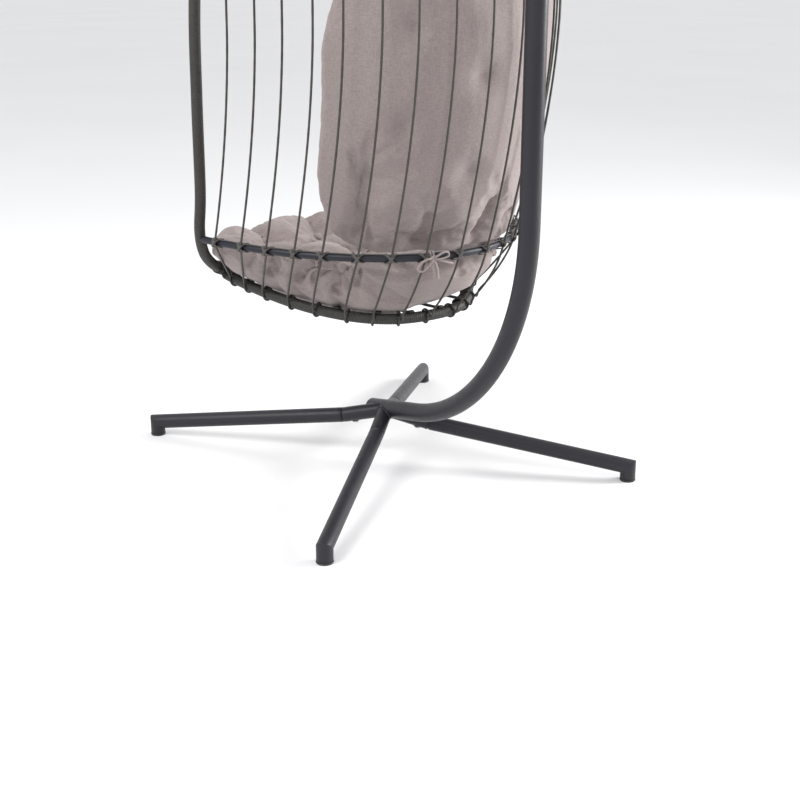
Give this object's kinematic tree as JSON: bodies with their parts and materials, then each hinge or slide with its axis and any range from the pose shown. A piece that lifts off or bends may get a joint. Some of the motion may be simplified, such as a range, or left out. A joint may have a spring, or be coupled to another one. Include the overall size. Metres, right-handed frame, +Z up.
{
  "type": "hanging egg chair",
  "caption": "Hanging egg chair: strand basket with wrapped hoop and tufted cushions, hung by a swivel from a bent tubular post on a low cross of legs.",
  "frame": {"origin": "bottom centre of the whole box, on the ground between the four feet", "axes": "+Z up; +X to the chair's left (its symmetry plane is YZ); the chair faces -Y and the post stands behind it at +Y"},
  "size_m": [0.7724, 0.9204, 1.953],
  "materials": {
    "powder_coat": "satin",
    "black_plastic": "matte",
    "zinc_steel": "satin",
    "wicker_wrap": "matte",
    "strand_wrap": "matte",
    "strap": "matte",
    "twine": "matte",
    "cushion_cloth": "matte"
  },
  "bodies": {
    "stand": {"leg_front_left": "powder_coat", "leg_front_right": "powder_coat", "leg_rear_left": "powder_coat", "leg_rear_right": "powder_coat", "foot_cap_front_left": "black_plastic", "foot_cap_front_right": "black_plastic", "foot_cap_rear_left": "black_plastic", "foot_cap_rear_right": "black_plastic", "leg_bolt_front_left": "zinc_steel", "leg_bolt_front_right": "zinc_steel", "leg_bolt_rear_left": "zinc_steel", "leg_bolt_rear_right": "zinc_steel", "lower_post": "powder_coat", "upper_post": "powder_coat", "post_cap_lower": "black_plastic", "post_cap_upper": "black_plastic", "post_bolt_1": "zinc_steel", "post_bolt_2": "zinc_steel", "hanger_eye": "zinc_steel", "hanger_nut": "zinc_steel"},
    "snap": {"snap_hook": "zinc_steel", "gate_rivet": "zinc_steel"},
    "gate": {"snap_hook_gate": "zinc_steel"},
    "swivel": {"swivel_housing": "zinc_steel"},
    "basket": {"swivel_stem": "zinc_steel", "stem_nut": "zinc_steel", "front_hoop": "wicker_wrap", "crown_ring": "powder_coat", "mid_ring": "powder_coat", "ring_stud_left": "powder_coat", "ring_stud_right": "powder_coat", "bottom_ring": "wicker_wrap", "ring_lashing": "twine", "seat_strap_1": "strap", "seat_strap_2": "strap", "seat_strap_3": "strap", "seat_strap_4": "strap", "seat_strap_5": "strap", "seat_strap_6": "strap", "strand_01": "strand_wrap", "strand_02": "strand_wrap", "strand_03": "strand_wrap", "strand_04": "strand_wrap", "strand_05": "strand_wrap", "strand_06": "strand_wrap", "strand_07": "strand_wrap", "strand_08": "strand_wrap", "strand_09": "strand_wrap", "strand_10": "strand_wrap", "strand_11": "strand_wrap", "strand_12": "strand_wrap", "strand_13": "strand_wrap", "strand_14": "strand_wrap", "strand_15": "strand_wrap", "strand_16": "strand_wrap", "strand_17": "strand_wrap", "seat_cushion": "cushion_cloth", "back_cushion": "cushion_cloth", "cushion_tie": "cushion_cloth"}
  },
  "joints": [
    {"name": "swing_fore_aft", "type": "hinge", "parent": "stand", "child": "snap", "pos_m": [0, -0.0547, 1.8545], "axis": [1, 0, 0], "range_deg": [-15, 4]},
    {"name": "gate_hinge", "type": "hinge", "parent": "snap", "child": "gate", "pos_m": [0, -0.0427, 1.8012], "axis": [1, 0, 0], "range_deg": [0, 16], "stiffness_Nm_per_rad": 0.02},
    {"name": "swing_side", "type": "hinge", "parent": "snap", "child": "swivel", "pos_m": [0, -0.0547, 1.7842], "axis": [0, 1, 0], "range_deg": [-12, 12]},
    {"name": "basket_spin", "type": "hinge", "parent": "swivel", "child": "basket", "pos_m": [0, -0.0547, 1.7], "axis": [0, 0, 1], "continuous": true}
  ]
}
